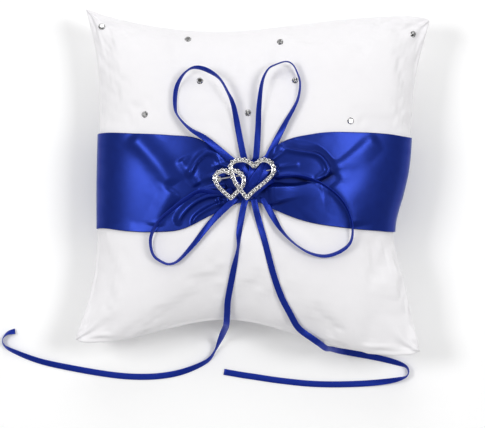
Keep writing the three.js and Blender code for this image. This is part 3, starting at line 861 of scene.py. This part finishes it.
crossing = np.clip((side_start - np.abs(u)) / side_reach, 0, 1)[..., None]
out_way = flat_normal * crossing + away * (1 - crossing)
out_way /= np.linalg.norm(out_way, axis=-1, keepdims=True)
height = np.where(in_front, pleat_height(waist[..., 0], waist[..., 1]), 0.0)
ripple = soft_noise(waist[..., 0], waist[..., 1], band_ripple_size, 60.0)
height += band_ripple * ripple * in_front
under = np.where(in_front, cover_rise(u, v, 1), cover_rise(u, v, -1))
inner = waist + out_way * (band_gap + np.maximum(under, 0) + np.maximum(height, 0))[..., None]
from_hinge = np.hypot(inner[..., 0] - hinge_middle[0], inner[..., 1] - hinge_middle[1])
pressed = hinge_floor - band_thickness + press_slope * np.maximum(from_hinge - hinge_room, 0)
inner[..., 2] = np.where(in_front, np.minimum(inner[..., 2], pressed), inner[..., 2])
outer = inner + out_way * band_thickness
inner[..., 2] = np.maximum(inner[..., 2], band_thickness)
outer[..., 2] = np.where(in_front, outer[..., 2], np.maximum(outer[..., 2], 0.0))
blue_satin = blue_satin_material()
band = shell("satin_waist_band", outer, inner, blue_satin)
# Painted shade: how far each point lies below the blurred band, kept as a point attribute that darkens
# the colour.
sunk = blurred(height, painted_shade_blur) - height
hollow = np.clip((sunk - painted_shade_start) / painted_shade_depth, 0, 1) * in_front
painted_shade_mark = band.data.attributes.new("hollow", "FLOAT", "POINT")
painted_shade_mark.data.foreach_set("value", np.tile(hollow.ravel(), 2))
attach(band, "pillow")
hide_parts("satin_band")

# ---------------- Knot
# The thin ribbon crosses itself over the gathered band and is stitched through. Its turns come
# in from the upper loops, lie over each other in the middle and leave towards the tails.
knot_ribbon_width = 0.0046
knot_turns = [
    [(-0.0105, 0.004, 0.059, -10), (-0.0078, -0.0008, 0.0618, -10), (-0.0048, -0.0052, 0.0622, 0),
     (-0.0024, -0.0095, 0.0592, 0)],
    [(0.0112, 0.001, 0.0592, 15), (0.0072, -0.002, 0.062, 18), (0.003, -0.0056, 0.0624, 8),
     (-0.0002, -0.0095, 0.0592, 0)],
    [(0.011, 0.0094, 0.0588, 0), (0.0077, 0.006, 0.0636, 4), (0.005, 0.001, 0.064, 14),
     (0.0016, -0.0046, 0.063, 6), (-0.0012, -0.0096, 0.0592, 0)],
    [(0.0004, 0.0108, 0.0596, 0), (0.0, 0.0062, 0.0642, 10), (-0.0006, 0.0008, 0.0646, 12),
     (-0.0014, -0.005, 0.0628, 0), (-0.0018, -0.01, 0.0592, 0)],
    [(-0.0092, 0.0102, 0.0592, -18), (-0.0062, 0.0064, 0.0632, -24), (-0.0034, 0.0012, 0.0642, -16),
     (-0.0018, -0.0048, 0.0632, -4), (-0.001, -0.01, 0.0592, 0)],
    [(0.0086, 0.0104, 0.0592, 20), (0.0052, 0.0064, 0.064, 26), (0.0016, 0.0012, 0.065, 18),
     (-0.001, -0.0044, 0.0638, 6), (-0.0024, -0.0098, 0.0592, 0)],
]
for k, turn_route in enumerate(knot_turns):
    knot_turn, _ = ribbon("knot_turn_%d" % (k + 1), turn_route, ribbon_satin, knot_ribbon_width)
    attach(knot_turn, "pillow")
    if k == 0:
        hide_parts("ribbon_knot")

# ---------------- Glued stones
# Nine faceted glass stones with flat foiled backs, glued one by one to the upper part of the
# face. Each has a flat table, eight star and eight kite facets, and a thin girdle.
stone_radius, stone_table, stone_height, stone_girdle = 0.002, 0.0011, 0.0013, 0.00025
stone_sink = 0.0002
stone_count = 9


def stone_mesh(place, up, turn_angle, radius, table, height, girdle, pavilion=0.0):
    """Points and faces of one cut stone that stands on place along up."""
    up = np.array(up) / np.linalg.norm(up)
    side = np.cross(up, (0.0, 1.0, 0.02))
    side /= np.linalg.norm(side)
    third = np.cross(up, side)

    def ring(reach_out, level, offset, count):
        bearing = turn_angle + (np.arange(count) + offset) * 2 * math.pi / count
        around = side * np.cos(bearing)[:, None] + third * np.sin(bearing)[:, None]
        return np.array(place) + around * reach_out + up * level

    rings = [ring(radius, 0.0, 0.0, 16), ring(radius, girdle, 0.0, 16),
             ring(blend_of(radius, table, 0.55), blend_of(girdle, height, 0.62), 0.5, 8),
             ring(table, height, 0.0, 8)]
    points = np.vstack(rings + [[np.array(place) - up * pavilion]])
    faces = [(j, (j + 1) % 16, 16 + (j + 1) % 16, 16 + j) for j in range(16)]
    for j in range(8):
        here, there = 32 + j, 32 + (j + 1) % 8
        first, middle, last = 16 + 2 * j, 17 + 2 * j, 16 + (2 * j + 2) % 16
        faces += [(first, middle, here), (middle, last, here)]
        faces.append((last, there, 40 + (j + 1) % 8, here))
        faces.append((here, 40 + (j + 1) % 8, 40 + j))
    faces.append(tuple(40 + j for j in range(8)))
    faces += [((j + 1) % 16, j, 48) for j in range(16)]
    return points, faces


def cut_glass_material(name, stops):
    material, tree, shader = new_material(name)
    place = place_of(tree)
    # Painted reflections: each facet's colour is picked from the ramp by the way it faces, with noise,
    # from near black to white, in place of the dark and bright things that real facets mirror.
    facing = node(tree, "ShaderNodeNewGeometry", {}, out="True Normal")
    twist = node(tree, "ShaderNodeVectorMath", {"operation": "DOT_PRODUCT"}, facing,
                 (17.3, 29.1, 11.7), out="Value")
    wander = speckle(tree, place, 1400.0, 2.0)
    spark = (twist + wander * 0.8).math("FRACT")
    painted_facet_glint = node(tree, "ShaderNodeValToRGB", {"stops": stops}, spark)
    feed(tree, shader, "Base Color", painted_facet_glint)
    feed(tree, shader, "Roughness", wander * 0.06 + 0.03)
    fixed(shader, Metallic=0.85, Specular_IOR_Level=0.9, Coat_Weight=1.0, Coat_Roughness=0.02)
    bump(tree, shader, wander, 0.05, 0.00005)
    return material


# Ramp of painted facet reflections for the glued stones, darker on the whole.
dark_painted_glints = [(0.0, 0.02), (0.28, 0.08), (0.46, 0.3), (0.72, 0.78), (1.0, 1.0)]
cut_glass = cut_glass_material("foiled_cut_glass", dark_painted_glints)
cover_mesh = cover[1].data
cover_tree = BVHTree.FromPolygons([tuple(p.co) for p in cover_mesh.vertices],
                                  [tuple(f.vertices) for f in cover_mesh.polygons])
for k in range(1, stone_count + 1):
    node_name = "rhinestone_%d" % k
    low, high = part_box(node_name)
    above = Vector(((low.x + high.x) / 2, (low.y + high.y) / 2, 0.2))
    touch, up, _, _ = cover_tree.ray_cast(above, Vector((0.0, 0.0, -1.0)))
    up = up if up.z > 0 else -up
    points, faces = stone_mesh(touch - up * stone_sink, up, k * 1.3, stone_radius, stone_table,
                               stone_height, stone_girdle)
    stone = new_piece("glued_stone_%d" % k, points, faces, cut_glass, smooth=False)
    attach(stone, "pillow")
    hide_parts(node_name)

# ---------------- Brooch
# Two overlapping open hearts cast in one piece and silver plated. A smooth rail runs along the
# inside of each heart, and outside it stands a row of claw cups, each with a small cut stone.
brooch_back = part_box("heart_frame")[0].z
base_height, rail_height = 0.0007, 0.0013
rail_inner, rail_outer = -0.0012, -0.00065
base_inner, base_outer = -0.0012, 0.0011
cup_radius, cup_wall, cup_height = 0.00105, 0.00018, 0.0012
claw_radius, claw_height, claw_lean = 0.00022, 0.0021, 0.00028
small_stone_radius, small_stone_table, small_stone_height = 0.00092, 0.0005, 0.0007
stone_pitch = 0.00235
row_offset, lobe_offset = 0.0001, 0.00055
lobe_start = {"large": 0.0035, "small": -0.0005}
lobe_reach = 0.003
casting_step, cup_depth, tarnish = 0.0004, 0.0003, 0.86
small_stone_girdle, small_stone_sink = 0.0001, 0.0001

# Each heart is two lines that run from the notch to the point.
heart_lines = {
    "large": ([(0.0007, 0.0069), (-0.001, 0.0084), (-0.0032, 0.0099), (-0.0056, 0.0105),
               (-0.008, 0.0104), (-0.0103, 0.0097), (-0.012, 0.0083), (-0.0127, 0.0064),
               (-0.0124, 0.0042), (-0.0113, 0.001), (-0.0099, -0.002), (-0.0083, -0.0044),
               (-0.0063, -0.0069), (-0.0045, -0.009), (-0.0029, -0.0108)],
              [(0.0007, 0.0069), (0.002, 0.0087), (0.0034, 0.0101), (0.0051, 0.0108),
               (0.0071, 0.0108), (0.0093, 0.0098), (0.0108, 0.0082), (0.0116, 0.006),
               (0.0114, 0.0041), (0.0104, 0.0022), (0.0087, 0.0003), (0.0066, -0.0017),
               (0.0039, -0.004), (0.0013, -0.0062), (-0.0009, -0.0083), (-0.0029, -0.0108)]),
    "small": ([(-0.0131, 0.0029), (-0.0156, 0.004), (-0.0186, 0.0035), (-0.0208, 0.0017),
               (-0.0214, -0.0007), (-0.0203, -0.0033), (-0.0179, -0.0061), (-0.0148, -0.0088),
               (-0.0119, -0.0112)],
              [(-0.0131, 0.0029), (-0.0111, 0.0042), (-0.0085, 0.0038), (-0.0062, 0.002),
               (-0.0049, -0.0005), (-0.0052, -0.0032), (-0.0067, -0.0056), (-0.0092, -0.0083),
               (-0.0119, -0.0112)]),
}
heart_middles = {"large": (-0.0005, 0.002), "small": (-0.013, -0.0025)}
heart_rise = {"large": 0.0, "small": 0.0003}


def silver_material(name, tint, rough):
    material, tree, shader = new_material(name)
    place = place_of(tree)
    cloud = speckle(tree, place, 320.0, 3.0)
    fine = speckle(tree, place, 1800.0, 2.0)
    base = mix(tree, cloud * 0.7 + fine * 0.3, tuple(tarnish * c for c in tint) + (1,), tint + (1,))
    feed(tree, shader, "Base Color", base)
    feed(tree, shader, "Roughness", cloud * 0.1 + rough)
    fixed(shader, Metallic=1.0)
    bump(tree, shader, fine, 0.12, 0.00004)
    return material


def add_part(points, faces, more_points, more_faces):
    """Adds one more solid to a mesh that is being put together."""
    start = len(points)
    points.extend(tuple(p) for p in more_points)
    faces.extend(tuple(start + k for k in face) for face in more_faces)


def follow(line, inward_of):
    """Even points along a heart's side, with the unit direction that points away from inside."""
    path = smooth_line(line, casting_step)
    along = np.gradient(path, axis=0)
    along /= np.linalg.norm(along, axis=1)[:, None]
    outward = np.stack([along[:, 1], -along[:, 0]], axis=1)
    if ((path - np.array(inward_of)) * outward).sum() < 0:
        outward = -outward
    return path, outward


def swept_strip(path, outward, low, high, bottom, top):
    """A strip of the casting with its upper edges rounded off."""
    soft = 0.3 * min(high - low, top - bottom)
    profile = [(low, bottom), (high, bottom), (high, top - soft), (high - soft, top),
               (low + soft, top), (low, top - soft)]
    rings = [np.column_stack([path + outward * offset, np.full(len(path), level)])
             for offset, level in profile]
    rings = np.stack(rings, axis=1)
    return rings.reshape(-1, 3), strip_faces(len(path), len(profile))


def turned(profile, centre, count=14, lean=(0.0, 0.0)):
    """A small turned solid about an upright line; each profile row is a radius and a height."""
    rings = []
    for radius, level in profile:
        bearing = np.arange(count) * 2 * math.pi / count
        share = (level - profile[0][1]) / max(profile[-1][1] - profile[0][1], 1e-9)
        rings.append(np.column_stack([centre[0] + lean[0] * share + radius * np.cos(bearing),
                                      centre[1] + lean[1] * share + radius * np.sin(bearing),
                                      np.full(count, level)]))
    return np.vstack(rings), strip_faces(len(profile), count)


silver_plate = silver_material("bright_silver_plate", (0.93, 0.92, 0.9), 0.1)
cast_points, cast_faces = [], []
# Ramp of painted facet reflections for the small claw-set stones, brighter on the whole.
bright_painted_glints = [(0.0, 0.06), (0.14, 0.25), (0.28, 0.75), (0.55, 0.96), (1.0, 1.0)]
claw_glass = cut_glass_material("claw_set_glass", bright_painted_glints)
for heart_name, lines in heart_lines.items():
    level = brooch_back + heart_rise[heart_name]
    set_points, set_faces = [], []
    for half, line in enumerate(lines):
        path, outward = follow(line, heart_middles[heart_name])
        add_part(cast_points, cast_faces, *swept_strip(path, outward, base_inner, base_outer,
                                                       level, level + base_height))
        add_part(cast_points, cast_faces, *swept_strip(path, outward, rail_inner, rail_outer,
                                                       level, level + rail_height))
        gone = np.r_[0, np.cumsum(np.linalg.norm(np.diff(path, axis=0), axis=1))]
        count = int(round(gone[-1] / stone_pitch))
        first = 0 if half == 0 else 1
        for step in range(first, count + (1 if half == 0 else 0)):
            k = int(np.argmin(np.abs(gone - gone[-1] * step / count)))
            on_lobe = np.clip((path[k][1] - lobe_start[heart_name]) / lobe_reach, 0, 1)
            centre = path[k] + outward[k] * blend_of(row_offset, lobe_offset, on_lobe)
            rim = level + cup_height
            add_part(cast_points, cast_faces,
                     *turned([(cup_radius * 0.8, level), (cup_radius, level + cup_height * 0.5),
                              (cup_radius, rim), (cup_radius - cup_wall, rim),
                              (cup_radius - cup_wall, rim - cup_depth)], centre))
            lie = math.atan2(outward[k][1], outward[k][0])
            for quarter in range(4):
                bearing = lie + math.pi / 4 + quarter * math.pi / 2
                way = np.array([math.cos(bearing), math.sin(bearing)])
                add_part(cast_points, cast_faces,
                         *turned([(claw_radius, level), (claw_radius, level + claw_height * 0.6),
                                  (claw_radius * 0.85, level + claw_height * 0.9),
                                  (claw_radius * 0.3, level + claw_height)],
                                 centre + way * cup_radius, 6, -way * claw_lean))
            cut, cut_faces = stone_mesh((centre[0], centre[1], rim - small_stone_sink), (0.0, 0.0, 1.0),
                                        step * 0.7 + half, small_stone_radius, small_stone_table,
                                        small_stone_height, small_stone_girdle, cup_height * 0.6)
            add_part(set_points, set_faces, cut, cut_faces)
    stones = new_piece(heart_name + "_heart_stones", set_points, set_faces, claw_glass, smooth=False)
    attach(stones, "brooch")
casting = new_piece("double_heart_casting", cast_points, cast_faces, silver_plate)
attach(casting, "brooch")
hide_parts("heart_frame")

# ---------------- Pin, hinge and catch
# The brooch's back carries a hinge block with a rivet, a sharpened steel pin that swings on
# it, and a catch whose small sleeve turns to close over the pin's end.
steel_wire = silver_material("polished_steel_wire", (0.8, 0.8, 0.82), 0.14)
for node_name in ("hinge_base", "hinge_rivet", "catch_base", "catch_sleeve"):
    bpy.data.objects[node_name].material_slots[0].material = silver_plate
bpy.data.objects["pin_stem"].material_slots[0].material = steel_wire

# ---------------- Table and lights
# A plain pale table under the pillow. Two small soft lights stand to the left and the right,
# a larger one stands beyond the pillow's top edge, and the room is pale all round.
table_half = 4.0
light_aim = (0, 0, 0.03)
pale_table, _, table_shader = new_material("pale_table")
fixed(table_shader, Base_Color=(0.98, 0.98, 0.98, 1), Roughness=0.8)
table = new_piece("table_top", [(-table_half, -table_half, 0), (table_half, -table_half, 0),
                                (table_half, table_half, 0), (-table_half, table_half, 0)],
                  [(0, 1, 2, 3)], pale_table)


def soft_light(name, place, size, power):
    data = bpy.data.lights.new(name, "AREA")
    data.shape = "RECTANGLE"
    data.size, data.size_y = size
    data.energy = power
    light = bpy.data.objects.new(name, data)
    light.location = place
    light.rotation_euler = (Vector(light_aim) - Vector(place)).to_track_quat("-Z", "Y").to_euler()
    bpy.context.scene.collection.objects.link(light)


soft_light("left_box", (-0.97, 0.18, 1.36), (0.5, 0.5), 9.2)
soft_light("right_box", (0.8, 0.25, 1.38), (0.5, 0.5), 8.6)
soft_light("top_box", (-0.1, 1.3, 1.0), (1.2, 0.8), 5.2)

world = bpy.data.worlds.new("studio")
bpy.context.scene.world = world
world.use_nodes = True
room = world.node_tree.nodes["Background"]
fixed(room, Color=(1.0, 1.0, 1.0, 1.0), Strength=0.42)
bpy.context.scene.view_settings.view_transform = "Standard"
